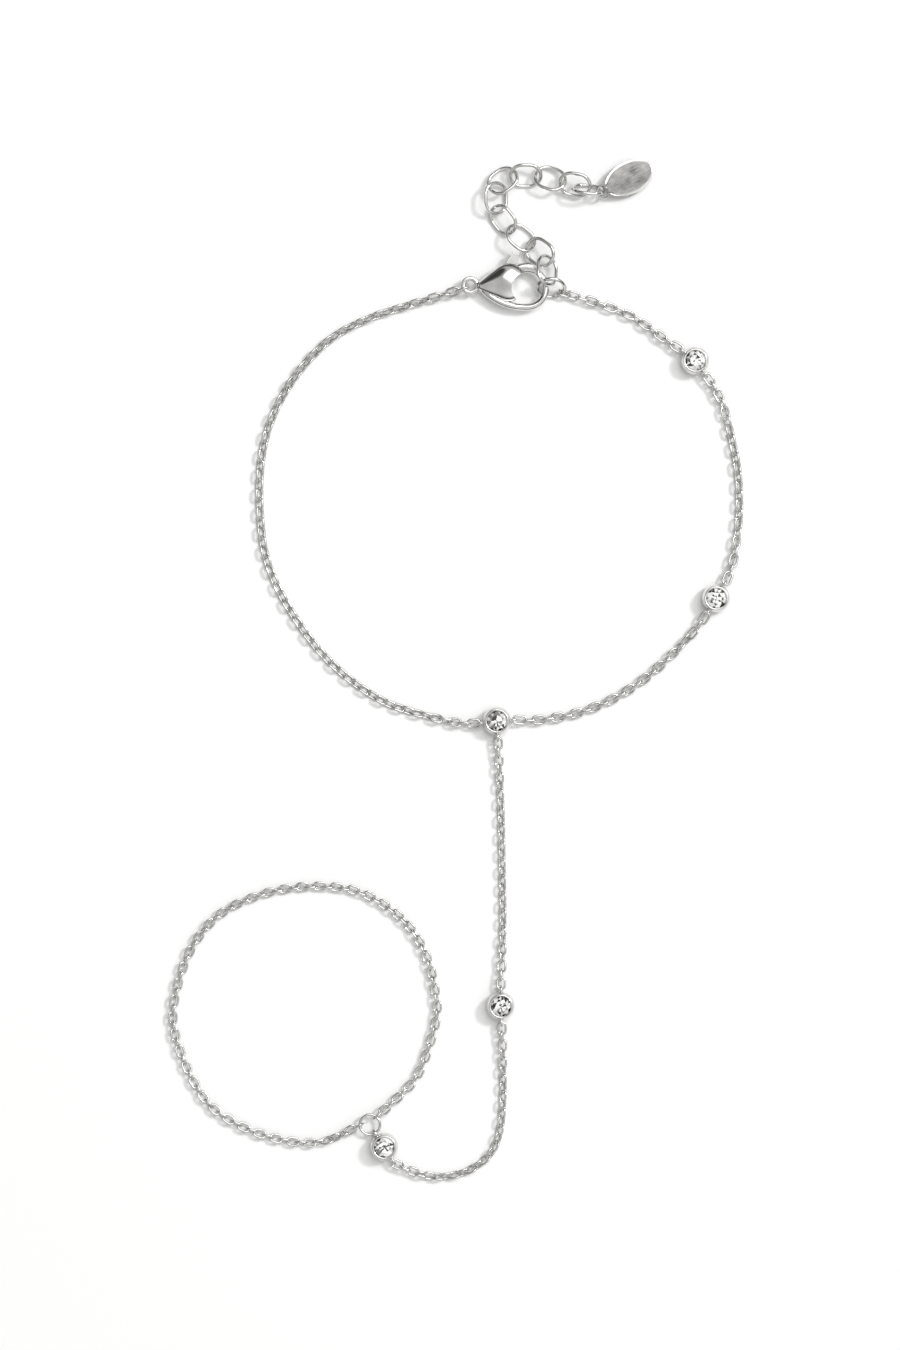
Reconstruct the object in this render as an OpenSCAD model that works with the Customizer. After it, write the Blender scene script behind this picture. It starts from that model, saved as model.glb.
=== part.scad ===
// Hand chain bracelet lying on a table: a wrist chain with a trigger clasp and an
// extender, and a hand chain with a finger loop, set with five round stones.
// X runs to the right, Y away from the wearer's fingers, Z up from the table.

/* [Chains] */
// Length of a wrist chain link
link_l = 1.9; // [1.8:0.05:2.2]
// Width of a wrist chain link
link_w = 1.25; // [1.2:0.05:1.4]
// Wire thickness of a wrist chain link
link_wire = 0.3; // [0.24:0.01:0.32]
// Length of a hand chain link
fine_l = 1.7; // [1.6:0.05:2]
// Width of a hand chain link
fine_w = 1.2; // [1.1:0.05:1.3]
// Wire thickness of a hand chain link
fine_wire = 0.27; // [0.22:0.01:0.29]
// Play left between two linked pieces
link_play = 0.13; // [0.11:0.01:0.14]

/* [Stones] */
// Diameter of a stone
stone_d = 2.45; // [2.3:0.05:2.6]
// Height of a stone above its girdle
crown_h = 0.37; // [0.3:0.01:0.42]
// Depth of a stone below its girdle
pavilion_h = 1.05; // [0.95:0.01:1.15]
// Thickness of a stone's girdle
girdle_h = 0.06; // [0.04:0.01:0.1]
// Diameter of a stone's table
table_d = 1.35; // [1.2:0.05:1.5]

/* [Settings] */
// Largest diameter of a setting
setting_d = 3.4; // [3.3:0.05:3.7]
// Height of a setting's wall up to its rounded rim
setting_h = 1.9; // [1.8:0.05:2.1]
// Radius of the curve that bulges a setting's wall
setting_bulge_r = 2.2; // [1.8:0.1:3]
// How far the rim is pressed in over the girdle of the stone
rim_over = 0.05; // [0.03:0.01:0.08]
// Height of the rim above the girdle of the stone
rim_rise = 0.31; // [0.28:0.01:0.36]
// Clearance between a stone and its setting
stone_gap = 0.06; // [0.05:0.01:0.09]
// Outside diameter of a setting's ear
ear_d = 1.2; // [1.15:0.05:1.4]
// Wire thickness of a setting's ear
ear_wire = 0.3; // [0.24:0.02:0.32]
// Height of the ears above the table
ear_z = 0.95; // [0.9:0.05:1.05]

/* [Extender] */
// Length of an extender link
ext_l = 4.1; // [4.05:0.05:4.2]
// Width of an extender link
ext_w = 3.3; // [3.2:0.05:3.4]
// Wire thickness of an extender link
ext_wire = 0.43; // [0.38:0.01:0.44]
// Lean of an extender link to either side
ext_roll = 30; // [29:1:33]
// Long diameter of the tag
tag_l = 6.4; // [6:0.1:7]
// Short diameter of the tag
tag_w = 4; // [3.6:0.1:4.4]
// Thickness of the tag
tag_t = 0.4; // [0.35:0.05:0.45]
// Diameter of the ear at the tag's end
tag_ear_d = 1.7; // [1.7:0.05:1.9]
// Diameter of the hole in that ear
tag_hole_d = 1.1; // [1.1:0.05:1.2]

/* [Rings] */
// Outside diameter of the ring at the end of the wrist chain
end_ring_d = 3.7; // [3.6:0.05:3.9]
// Wire thickness of that ring
end_ring_wire = 0.44; // [0.4:0.01:0.45]
// Lean of that ring from the table
end_ring_roll = 52; // [50:1:56]
// Outside diameter of the ring that closes the finger loop
finger_ring_d = 2.75; // [2.6:0.05:2.9]
// Wire thickness of that ring
finger_ring_wire = 0.33; // [0.28:0.01:0.34]
// Thickness of the finger loop's chain
loop_d = 0.95; // [0.9:0.01:1]

/* [Clasp] */
// Thickness of the clasp's body
clasp_t = 2.5; // [2.4:0.05:2.6]
// Outside diameter of the clasp's eye
eye_d = 2.3; // [2.2:0.05:2.4]
// Diameter of the hole in the eye
eye_hole_d = 1.1; // [1:0.05:1.15]
// Thickness of the eye
eye_t = 0.4; // [0.36:0.01:0.42]
// Distance from the eye to the middle of the hook
hook_x = 6.8; // [6.6:0.1:7]
// Inside diameter of the hook
hook_hole_d = 3.7; // [3.6:0.05:3.8]
// Thickness of the hook's bar
hook_bar = 0.85; // [0.8:0.05:0.9]
// Diameter of the clasp's pin
pin_d = 0.7; // [0.6:0.05:0.8]
// Clearance of the trigger around its pin
pin_gap = 0.03; // [0.02:0.01:0.05]
// Thickness of the trigger
trigger_t = 0.9; // [0.8:0.05:1]
// Clearance on either side of the trigger
trigger_gap = 0.1; // [0.08:0.01:0.15]
// Diameter of the trigger's hub
hub_d = 1.5; // [1.4:0.05:1.6]
// Width of the trigger's arm between its hub and the hook
arm_w = 0.8; // [0.7:0.05:0.9]
// Width of the trigger's arm where it closes the hook
arm_tip_w = 1.25; // [1.1:0.05:1.3]
// Clearance between the trigger's tip and the hook's end
tip_gap = 0.08; // [0.06:0.01:0.12]
// Width of the clasp's body across its cheeks
cheek_d = 4.7; // [4.6:0.05:4.8]
// Width of the clasp's body at its neck
neck_d = 1.4; // [1.3:0.05:1.5]

/* [Hidden] */
$fn = 48;

// Where each setting lies, and the directions of its ears
//  x, y, [ear angles]
SETTINGS = [
    [4.9, -6.1, [188, 3, -87]],
    [31.2, 8.6, [239, 59]],
    [28.7, 37.1, [-53, 142]],
    [5.4, -40.3, [90, -88]],
    [-8.6, -57.2, [123, -57]]
];

// Clasp's eye, the direction of the clasp, and the end ring
CLASP_AT = [1.7, 46.1];
CLASP_TURN = -1;
END_RING_AT = [11.4, 45.8];

// Chosen points that the chains pass on the table, as x and y
LEFT_ROUTE = [[-1.5, 45], [-5.9, 43.7], [-10.4, 42.2], [-14.8, 39.9], [-18.4, 36.4], [-21.2, 32.2],
    [-23, 27.4], [-23.6, 21.6], [-23.1, 14.8], [-21.5, 10.1], [-19, 5.8], [-16, 1.9], [-12.5, -1.3],
    [-8.4, -3.9], [-3.9, -5.4], [0, -6.3]];
LOWER_ROUTE = [[9.8, -6], [14.4, -5.2], [18.8, -3.5], [22.7, -1], [26.3, 2.2], [28.8, 4.9]];
RIGHT_ROUTE = [[33.3, 13.2], [33.9, 17.5], [34, 21], [33.8, 24], [33.2, 27.3], [32.1, 31.6], [31, 33.9]];
UPPER_ROUTE = [[25.2, 39.6], [21.2, 42.4], [16.5, 44.2]];
HAND_UPPER_ROUTE = [[5.3, -14.4], [5.5, -21.6], [5.6, -30.6]];
HAND_LOWER_ROUTE = [[5.6, -46.8], [5.6, -51.6], [5.2, -55.5], [4, -58.2], [1.7, -60], [-1.2, -60.8],
    [-4.2, -60.5]];
FINGER_ROUTE = [[-7.7, -52], [-4.9, -49.1], [-3.3, -45.4], [-2.3, -41.4], [-2.5, -38.6], [-3.5, -34.5],
    [-5.6, -30.8], [-8.9, -28], [-12.8, -26.3], [-18.2, -26], [-23.5, -27], [-28.4, -29.4],
    [-31.8, -33.5], [-33.6, -38.7], [-33.9, -42.8], [-32.2, -47.9], [-29.3, -52.4], [-24.7, -55.2],
    [-19.6, -56.6], [-15.6, -56.5]];
// Joints between the extender's links after the first, with their height above the resting height
EXT_JOINTS = [[11, 49.4, 0.7], [9.1, 50.8, 0], [6.5, 52.9, 0.2], [4.8, 55.1, 0.1], [4.8, 58.1, 0.2],
    [6.4, 59.3, 0.1], [10.3, 59.3, 0.1], [12.3, 58.6, 0.4], [16.2, 57.8, 0.6]];
// Lean of each extender link from the table, as shares of the usual lean
EXT_LEAN = [1.3, -0.6, 1, -1.2, 1, -0.8, 1.1, -0.8, 1];

steel = [0.80, 0.81, 0.83];
ease_links = 6;
lift_links = 8;
route_steps = 10;
table_gap = 0.015;
end_ring_play = 2 * link_play;

// Outer reach of a link's wire from its middle, along and across
function reach_l(size) = (size[0] - size[2]) / 2;
function reach_w(size) = (size[1] - size[2]) / 2;
link_size = [link_l, link_w, link_wire];
fine_size = [fine_l, fine_w, fine_wire];
ext_size = [ext_l, ext_w, ext_wire];

// Smooth curve through points
function curve_point(a, b, c, d, t) =
    (2 * b + (c - a) * t + (2 * a - 5 * b + 4 * c - d) * t * t + (3 * b - a - 3 * c + d) * t * t * t) / 2;
function smooth(p) = concat(
    [for (i = [0:len(p) - 2]) for (k = [0:route_steps - 1])
        curve_point(p[max(i - 1, 0)], p[i], p[i + 1], p[min(i + 2, len(p) - 1)], k / route_steps)],
    [p[len(p) - 1]]);
// Distance run along a curve at each of its points
function runs(p) = [for (i = 0, s = 0; i < len(p); i = i + 1,
    s = s + (i < len(p) ? norm(p[i] - p[i - 1]) : 0)) s];
function last(v) = v[len(v) - 1];
function at(p, s, run) = [lookup(run, [for (i = [0:len(p) - 1]) [s[i], p[i].x]]),
    lookup(run, [for (i = [0:len(p) - 1]) [s[i], p[i].y]])];

// Where things are on the settings
setting_r = setting_d / 2;
stone_r = stone_d / 2;
ear_reach = setting_r + 2 * link_play + link_wire + ear_wire - ear_d / 2;
function setting_at(i) = [SETTINGS[i].x, SETTINGS[i].y];
function toward(angle, r) = r * [cos(angle), sin(angle)];
function ear_hold(i, e) = setting_at(i)
    + toward(SETTINGS[i][2][e], ear_reach + ear_d / 2 - ear_wire / 2);

clasp_z = clasp_t / 2;
eye_chain_angle = 205;
eye_rim = (eye_d - eye_hole_d) / 2;
eye_hold = CLASP_AT + toward(eye_chain_angle, eye_d / 2 - eye_rim / 2);
end_ring_r = (end_ring_d - end_ring_wire) / 2;
end_ring_z = end_ring_r * sin(end_ring_roll) + end_ring_wire / 2;
end_ring_chain_angle = -33;
end_chain_roll = 100 - end_ring_roll;
function on_end_ring(a) = [
    END_RING_AT.x + end_ring_r * cos(a),
    END_RING_AT.y + end_ring_r * sin(a) * cos(end_ring_roll),
    end_ring_z + end_ring_r * sin(a) * sin(end_ring_roll)];
end_hold = on_end_ring(end_ring_chain_angle);
finger_ring_r = (finger_ring_d - finger_ring_wire) / 2;
finger_ring_at = setting_at(4) + toward(SETTINGS[4][2][0],
    ear_reach + ear_d / 2 - ear_wire - link_play - finger_ring_wire / 2 + finger_ring_r);

// A stretch of chain runs between two wires that it is looped on:
//  link size, end points and route, wires at both ends, heights at both ends,
//  roll of the first link, roll half way, roll of the last link
LEFT = [link_size, concat([eye_hold], LEFT_ROUTE, [ear_hold(0, 0)]), [eye_rim, ear_wire],
    [clasp_z, ear_z], [90, 45, 0]];
LOWER = [link_size, concat([ear_hold(0, 1)], LOWER_ROUTE, [ear_hold(1, 0)]), [ear_wire, ear_wire],
    [ear_z, ear_z], [0, 8, 0]];
RIGHT = [link_size, concat([ear_hold(1, 1)], RIGHT_ROUTE, [ear_hold(2, 0)]), [ear_wire, ear_wire],
    [ear_z, ear_z], [0, 40, 0]];
UPPER = [link_size,
    concat([ear_hold(2, 1)], UPPER_ROUTE, [[end_hold.x, end_hold.y]]),
    [ear_wire, end_ring_wire + 2 * link_play], [ear_z, end_hold.z], [0, 30, end_chain_roll]];
HAND_UPPER = [fine_size, concat([ear_hold(0, 2)], HAND_UPPER_ROUTE, [ear_hold(3, 0)]),
    [ear_wire, ear_wire], [ear_z, ear_z], [0, 45, 0]];
HAND_LOWER = [fine_size, concat([ear_hold(3, 1)], HAND_LOWER_ROUTE, [ear_hold(4, 1)]),
    [ear_wire, ear_wire], [ear_z, ear_z], [0, 45, 0]];

// Angle that looks the same as a on a link, nearest to b
function near(a, b) = a - 180 * round((a - b) / 180);
function fade(k, n) = max(0, 1 - k / n);
// Height at which links of both rolls lie on the table
function rest_z(size, twist) =
    reach_w(size) * max(abs(sin(twist)), abs(cos(twist))) + size[2] / 2 + table_gap;
// Poses of a stretch's links: middle, heading, slope and roll
function poses(stretch) =
    let (size = stretch[0],
        route = smooth(stretch[1]),
        s = runs(route),
        start = stretch[2][0] / 2 + link_play + size[2] / 2,
        end = stretch[2][1] / 2 + link_play + size[2] / 2,
        first = reach_l(size) - start,
        span = last(s) - first - (reach_l(size) - end),
        count = ceil(span / (size[0] - 2 * size[2] - link_play)) + 1,
        pitch = span / (count - 1),
        mid = stretch[4][1],
        twist_0 = near(stretch[4][0], mid),
        twist_1 = near(stretch[4][2] - 90 * ((count - 1) % 2), mid),
        ease = min(ease_links, count / 2),
        twists = [for (i = [0:count - 1]) mid + (twist_0 - mid) * fade(i, ease)
            + (twist_1 - mid) * fade(count - 1 - i, ease)],
        rests = [for (twist = twists) rest_z(size, twist)],
        heights = [for (i = [0:count]) (rests[max(i - 1, 0)] + rests[min(i, count - 1)]) / 2
            + (stretch[3][0] - rests[0]) * pow(fade(i, lift_links), 2)
            + (stretch[3][1] - last(rests)) * pow(fade(count - i, lift_links), 2)])
    [for (i = [0:count - 1])
        let (run = first + i * pitch,
            here = at(route, s, run),
            ahead = at(route, s, run + reach_l(size)) - at(route, s, run - reach_l(size)))
        [[here.x, here.y, (heights[i] + heights[i + 1]) / 2], atan2(ahead.y, ahead.x),
            atan2(heights[i + 1] - heights[i], pitch), twists[i] + 90 * (i % 2)]];

// Oval link lying in its own plane, long along X
module oval_link(size) {
    bend_r = reach_w(size);
    straight = size[0] - size[1];
    for (turn = [0, 180]) rotate([0, 0, turn]) {
        translate([straight / 2, 0, 0]) rotate([0, 0, -90]) rotate_extrude(angle = 180)
            translate([bend_r, 0]) circle(d = size[2], $fn = 24);
        translate([-straight / 2, bend_r, 0]) rotate([0, 90, 0])
            cylinder(d = size[2], h = straight, $fn = 24);
    }
}

module posed_link(pose, size) {
    translate(pose[0]) rotate([0, 0, pose[1]]) rotate([0, -pose[2], 0]) rotate([pose[3], 0, 0])
        oval_link(size);
}

module chain_stretch(stretch) {
    color(steel) for (pose = poses(stretch)) posed_link(pose, stretch[0]);
}

module ring(d, wire) {
    rotate_extrude() translate([(d - wire) / 2, 0]) circle(d = wire, $fn = 24);
}

// Height of a stone's girdle above the table
rim_r = (setting_rim_r() - (stone_r - rim_over)) / 2;
function setting_rim_r() = setting_r - setting_bulge_r
    + sqrt(pow(setting_bulge_r, 2) - pow(setting_h / 2, 2));
girdle_z = setting_h + rim_r - rim_rise;

// Bulging cup with a rounded rim, turned about Z
module setting_profile() {
    cup_r = stone_r + stone_gap;
    lip_r = stone_r - rim_over;
    cup_depth = pavilion_h * cup_r / stone_r;
    lip_z = girdle_z + girdle_h / 2 + rim_over + stone_gap;
    difference() {
        union() {
            intersection() {
                translate([setting_r - setting_bulge_r, setting_h / 2]) circle(r = setting_bulge_r, $fn = 96);
                square([setting_r, setting_h]);
            }
            translate([setting_rim_r() - rim_r, setting_h]) circle(r = rim_r, $fn = 32);
        }
        polygon([[0, girdle_z - girdle_h / 2 - cup_depth], [cup_r, girdle_z - girdle_h / 2],
            [cup_r, lip_z], [lip_r, lip_z + rim_over], [lip_r, setting_h + rim_r], [0, setting_h + rim_r]]);
    }
}

module setting(i) {
    color(steel) translate(setting_at(i)) {
        rotate_extrude($fn = 96) setting_profile();
        for (angle = SETTINGS[i][2]) difference() {
            rotate([0, 0, angle]) translate([ear_reach, 0, ear_z]) rotate([90, 0, 0]) ring(ear_d, ear_wire);
            cylinder(r = setting_r - ear_wire, h = setting_h);
        }
    }
}

// Round brilliant: 8 main facets, 8 star facets and 16 half facets over a girdle of 16 sides
module stone(i) {
    table_r = table_d / 2;
    star_r = (table_r * cos(22.5) + stone_r) / 2;
    star_z = crown_h * (stone_r - star_r * cos(22.5)) / (stone_r - table_r);
    low_r = 0.23 * stone_r;
    low_z = pavilion_h * (1 - low_r * cos(22.5) / stone_r);
    function circle_points(n, r, z, shift) =
        [for (k = [0:n - 1]) [r * cos(360 / n * (k + shift)), r * sin(360 / n * (k + shift)), z]];
    points = concat(
        circle_points(8, table_r, girdle_h / 2 + crown_h, 0),
        circle_points(8, star_r, girdle_h / 2 + star_z, 0.5),
        circle_points(16, stone_r, girdle_h / 2, 0),
        circle_points(16, stone_r, -girdle_h / 2, 0),
        circle_points(8, low_r, -girdle_h / 2 - low_z, 0.5),
        [[0, 0, -girdle_h / 2 - pavilion_h]]);
    star = 8;
    upper = 16;
    lower = 32;
    low = 48;
    culet = 56;
    faces = concat(
        [[for (k = [7:-1:0]) k]],
        [for (k = [0:7]) [k, star + k, upper + 2 * k, star + (k + 7) % 8]],
        [for (k = [0:7]) [k, (k + 1) % 8, star + k]],
        [for (k = [0:7]) [star + k, upper + 2 * k + 1, upper + 2 * k]],
        [for (k = [0:7]) [star + k, upper + (2 * k + 2) % 16, upper + 2 * k + 1]],
        [for (k = [0:15]) [upper + k, upper + (k + 1) % 16, lower + (k + 1) % 16, lower + k]],
        [for (k = [0:7]) [low + k, lower + 2 * k, lower + 2 * k + 1]],
        [for (k = [0:7]) [low + k, lower + 2 * k + 1, lower + (2 * k + 2) % 16]],
        [for (k = [0:7]) [culet, low + (k + 7) % 8, lower + 2 * k, low + k]]);
    color("white") translate([SETTINGS[i].x, SETTINGS[i].y, girdle_z])
        rotate([0, 0, 15 * i]) polyhedron(points, faces);
}

// Tube that fills the finger loop's chain, with a ring of 8 corners at each step
loop_gap = 0.2;
loop_start = finger_ring_at + toward(52, finger_ring_d / 2 + loop_gap);
loop_end = finger_ring_at + toward(183, finger_ring_d / 2 + loop_gap);
module finger_chain() {
    sides = 8;
    route = smooth(concat([loop_start], FINGER_ROUTE, [loop_end]));
    s = runs(route);
    count = ceil(last(s) / (2.2 * loop_d));
    middle = [for (i = [0:count]) at(route, s, last(s) * i / count)];
    ahead = [for (i = [0:count]) middle[min(i + 1, count)] - middle[max(i - 1, 0)]];
    points = [for (i = [0:count]) for (k = [0:sides - 1])
        let (across = [ahead[i].y, -ahead[i].x] / norm(ahead[i]), turn = 360 / sides * (k + 0.5))
        [middle[i].x + across.x * cos(turn) * loop_d / 2, middle[i].y + across.y * cos(turn) * loop_d / 2,
            loop_d / 2 * (cos(180 / sides) + sin(turn))]];
    faces = concat(
        [[for (k = [0:sides - 1]) k]],
        [[for (k = [sides - 1:-1:0]) count * sides + k]],
        [for (i = [0:count - 1]) for (k = [0:sides - 1])
            [i * sides + k, (i + 1) * sides + k, (i + 1) * sides + (k + 1) % sides,
                i * sides + (k + 1) % sides]]);
    color(steel) polyhedron(points, faces);
}

module end_ring() {
    color(steel) translate([END_RING_AT.x, END_RING_AT.y, end_ring_z])
        rotate([end_ring_roll, 0, 0]) ring(end_ring_d, end_ring_wire);
}

module finger_ring() {
    color(steel) translate([finger_ring_at.x, finger_ring_at.y, ear_z]) ring(finger_ring_d, finger_ring_wire);
}

// Extender links lean to one side and the other in turn
ext_rest_z = reach_w(ext_size) * sin(ext_roll) + ext_wire / 2;
ext_ring_angle = 110;
function between(a, b) =
    let (d = b - a) [(a + b) / 2, atan2(d.y, d.x), atan2(d.z, norm([d.x, d.y]))];
function table_joint(i) = [EXT_JOINTS[i - 1].x, EXT_JOINTS[i - 1].y, ext_rest_z + EXT_JOINTS[i - 1].z];
function ring_joint(wire_at, next) =
    wire_at - (next - wire_at) / norm(next - wire_at) * (end_ring_wire / 2 + end_ring_play - link_play / 2);
function ext_joint(i) = i == 0 ? ring_joint(on_end_ring(ext_ring_angle), table_joint(1)) : table_joint(i);
function ext_pose(i) = concat(between(ext_joint(i), ext_joint(i + 1)), [ext_roll * EXT_LEAN[i]]);

module extender_link(i) {
    color(steel) posed_link(ext_pose(i), ext_size);
}

// The tag hangs on one more link of the same size, which lies slack in the last one
TAG_LINK_AT = [15.8, 57.6];
tag_turn = 27;
tag_link_heading = -6;
tag_link_roll = -66;
tag_link_z = reach_w(ext_size) * sin(abs(tag_link_roll)) + ext_wire / 2;
tag_link_pose = [[TAG_LINK_AT.x, TAG_LINK_AT.y, tag_link_z], tag_link_heading, 0, tag_link_roll];
tag_hole_at = TAG_LINK_AT + toward(tag_link_heading, reach_l(ext_size));

module tag_link() {
    color(steel) posed_link(tag_link_pose, ext_size);
}

// The tag's ear is lifted by the link, and its far end rests on the table
tag_ear_out = 0.4;
tag_hole_x = tag_l / 2 + tag_ear_out;
tag_tilt = asin((tag_link_z - tag_t / 2) / (tag_l / 2 + tag_hole_x));

module tag() {
    color(steel) translate([tag_hole_at.x, tag_hole_at.y, tag_link_z]) rotate([0, 0, tag_turn])
        rotate([0, tag_tilt, 0]) translate([tag_hole_x, 0, 0]) difference() {
            union() {
                tag_plate();
                translate([-tag_hole_x, 0, -tag_t / 2]) cylinder(d = tag_ear_d, h = tag_t);
            }
            translate([-tag_hole_x, 0, -tag_t]) cylinder(d = tag_hole_d, h = 2 * tag_t);
        }
}

// Oval plate of four arcs: small ones at the ends, large ones along the sides
module tag_plate() {
    end_r = 0.72 * tag_w / 2;
    end_x = tag_l / 2 - end_r;
    side_r = (pow(end_x, 2) + pow(tag_w / 2, 2) - pow(end_r, 2)) / (tag_w - 2 * end_r);
    side_y = side_r - tag_w / 2;
    touch = (side_r * end_x) / (side_r - end_r);
    translate([0, 0, -tag_t / 2]) linear_extrude(tag_t) {
        for (side = [-1, 1]) translate([side * end_x, 0]) circle(r = end_r, $fn = 96);
        intersection() {
            translate([0, -side_y]) circle(r = side_r, $fn = 180);
            translate([0, side_y]) circle(r = side_r, $fn = 180);
            square([2 * touch, tag_w], center = true);
        }
    }
}

// Clasp, with its eye at the origin and its hook along X
hook_y = -0.2;
hook_r = (hook_hole_d + hook_bar) / 2;
cheek_at = [hook_x - 2.2, 0.5];
cheek_r = cheek_d / 2;
neck_at = [eye_d / 2 + 0.35, 0];
neck_r = neck_d / 2;
pivot = [hook_x - 3.1, 0.8];
tip_r = 4.1;
arm_start = 50;
arm_sweep = 76;
hub_r = hub_d / 2;
slot_t = trigger_t + 2 * trigger_gap;
hook_flat = 0.4;
module place_clasp() {
    translate([CLASP_AT.x, CLASP_AT.y, clasp_z]) rotate([0, 0, CLASP_TURN]) children();
}

module eye() {
    rotate_extrude() translate([(eye_d - eye_rim) / 2, 0]) {
        square([eye_rim - eye_t, eye_t], center = true);
        for (side = [-1, 1]) translate([side * (eye_rim - eye_t) / 2, 0]) circle(d = eye_t, $fn = 24);
    }
}

// Pear-shaped cheeks around the trigger, hollowed by the hook's hole.
// Their profile is between an ellipse, at a bulge of 1, and a box, at 0.
module cheeks() {
    bulge = 0.8;
    profile = [for (a = [90:-7.5:-90])
        [cheek_r * pow(cos(a), bulge), clasp_t / 2 * sign(a) * pow(abs(sin(a)), bulge)]];
    difference() {
        hull() {
            translate([neck_at.x, neck_at.y, 0]) sphere(r = neck_r, $fn = 32);
            translate([cheek_at.x, cheek_at.y, 0]) rotate_extrude() polygon(profile);
        }
        translate([hook_x, hook_y, -clasp_t]) cylinder(d = hook_hole_d, h = 2 * clasp_t, $fn = 96);
        trigger_slot();
    }
}

module trigger_slot() {
    slot_x = pivot.x - hub_r - 2 * trigger_gap;
    slot_y = pivot.y - hub_r - 2 * trigger_gap;
    translate([slot_x, slot_y, -slot_t / 2]) cube([hook_x - slot_x, hook_r + cheek_r, slot_t]);
}

// Bar from the neck under the cheeks and round the hook, up to the trigger's tip
module hook() {
    bend_x = hook_x - hook_flat;
    drop = neck_at.y - neck_r / 2 - (hook_y - hook_r);
    run = bend_x - neck_at.x;
    rail_r = (run * run + drop * drop) / (2 * drop);
    difference() {
        translate([hook_x, hook_y, 0]) rotate([0, 0, -90]) rotate_extrude(angle = 172)
            translate([hook_r, 0]) circle(d = hook_bar, $fn = 32);
        translate([pivot.x, pivot.y, -clasp_t]) cylinder(r = tip_r + tip_gap, h = 2 * clasp_t, $fn = 96);
    }
    translate([bend_x, hook_y - hook_r, 0]) rotate([0, 90, 0])
        cylinder(d = hook_bar, h = hook_flat, $fn = 32);
    translate([bend_x, hook_y - hook_r + rail_r, 0]) rotate([0, 0, -90 - asin(run / rail_r)])
        rotate_extrude(angle = asin(run / rail_r), $fn = 180) translate([rail_r, 0])
            circle(d = hook_bar, $fn = 32);
}

module clasp_body() {
    pin_h = clasp_t - 0.3;
    color(steel) place_clasp() {
        eye();
        cheeks();
        hook();
        translate([pivot.x, pivot.y, -pin_h / 2]) cylinder(d = pin_d, h = pin_h);
    }
}

// Trigger: a hub on the pin, an arm along the hook's circle and a tab for the thumb
module arm_profile() {
    for (r = [trigger_t / 2, arm_tip_w - trigger_t / 2])
        translate([hook_hole_d / 2 + r, 0]) circle(d = trigger_t, $fn = 32);
    translate([(hook_hole_d + arm_tip_w) / 2, 0]) square([arm_tip_w - trigger_t, trigger_t], center = true);
}

module clasp_trigger() {
    arm_angle = 20;
    tab = [[0.4, 0.4], [0.57, 1.88], [1.28, 3.22], [1.99, 2.76], [1.93, 1.4], [1.7, 0.4]];
    color(steel) place_clasp() difference() {
        union() {
            translate([pivot.x, pivot.y, -trigger_t / 2]) cylinder(r = hub_r, h = trigger_t);
            translate([pivot.x, pivot.y, -trigger_t / 2]) rotate([0, 0, arm_angle])
                translate([0, -arm_w / 2, 0]) cube([2, arm_w, trigger_t]);
            translate([pivot.x, pivot.y, -trigger_t / 2]) linear_extrude(trigger_t) polygon(tab);
            intersection() {
                translate([hook_x, hook_y, 0]) rotate([0, 0, arm_start]) rotate_extrude(angle = arm_sweep)
                    arm_profile();
                translate([pivot.x, pivot.y, -clasp_t]) cylinder(r = tip_r, h = 2 * clasp_t, $fn = 96);
            }
        }
        translate([pivot.x, pivot.y, -clasp_t]) cylinder(d = pin_d + 2 * pin_gap, h = 2 * clasp_t);
    }
}

chain_stretch(LEFT);  // wrist_chain_left
chain_stretch(LOWER);  // wrist_chain_lower
chain_stretch(RIGHT);  // wrist_chain_right
chain_stretch(UPPER);  // wrist_chain_upper
chain_stretch(HAND_UPPER);  // hand_chain_upper
chain_stretch(HAND_LOWER);  // hand_chain_lower
finger_chain();
for (i = [0:4]) setting(i);
for (i = [0:4]) stone(i);
for (i = [0:8]) extender_link(i);
tag_link();
tag();
end_ring();
finger_ring();
clasp_body();
clasp_trigger();
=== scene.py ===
"""Looks of the hand chain bracelet: linked steel wire, five stones in round settings, a trigger
clasp and an oval tag. Sizes are in millimetres and become metres where a mesh is made."""
import math

import bmesh
import bpy
import numpy as np
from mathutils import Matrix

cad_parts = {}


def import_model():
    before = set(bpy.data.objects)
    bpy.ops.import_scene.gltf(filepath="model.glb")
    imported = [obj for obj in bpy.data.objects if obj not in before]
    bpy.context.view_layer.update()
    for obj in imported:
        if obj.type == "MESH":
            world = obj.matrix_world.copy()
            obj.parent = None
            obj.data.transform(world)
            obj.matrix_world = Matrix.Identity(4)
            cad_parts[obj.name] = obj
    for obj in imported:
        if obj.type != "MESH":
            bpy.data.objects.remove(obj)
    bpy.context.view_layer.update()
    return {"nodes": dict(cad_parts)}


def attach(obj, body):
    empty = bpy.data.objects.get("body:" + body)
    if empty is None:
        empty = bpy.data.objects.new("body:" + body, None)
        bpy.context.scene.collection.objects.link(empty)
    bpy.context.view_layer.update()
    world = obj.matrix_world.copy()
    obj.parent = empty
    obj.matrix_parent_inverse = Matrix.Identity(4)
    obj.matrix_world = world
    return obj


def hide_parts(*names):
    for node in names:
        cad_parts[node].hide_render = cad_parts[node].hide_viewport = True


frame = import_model()

MM = 0.001

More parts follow.
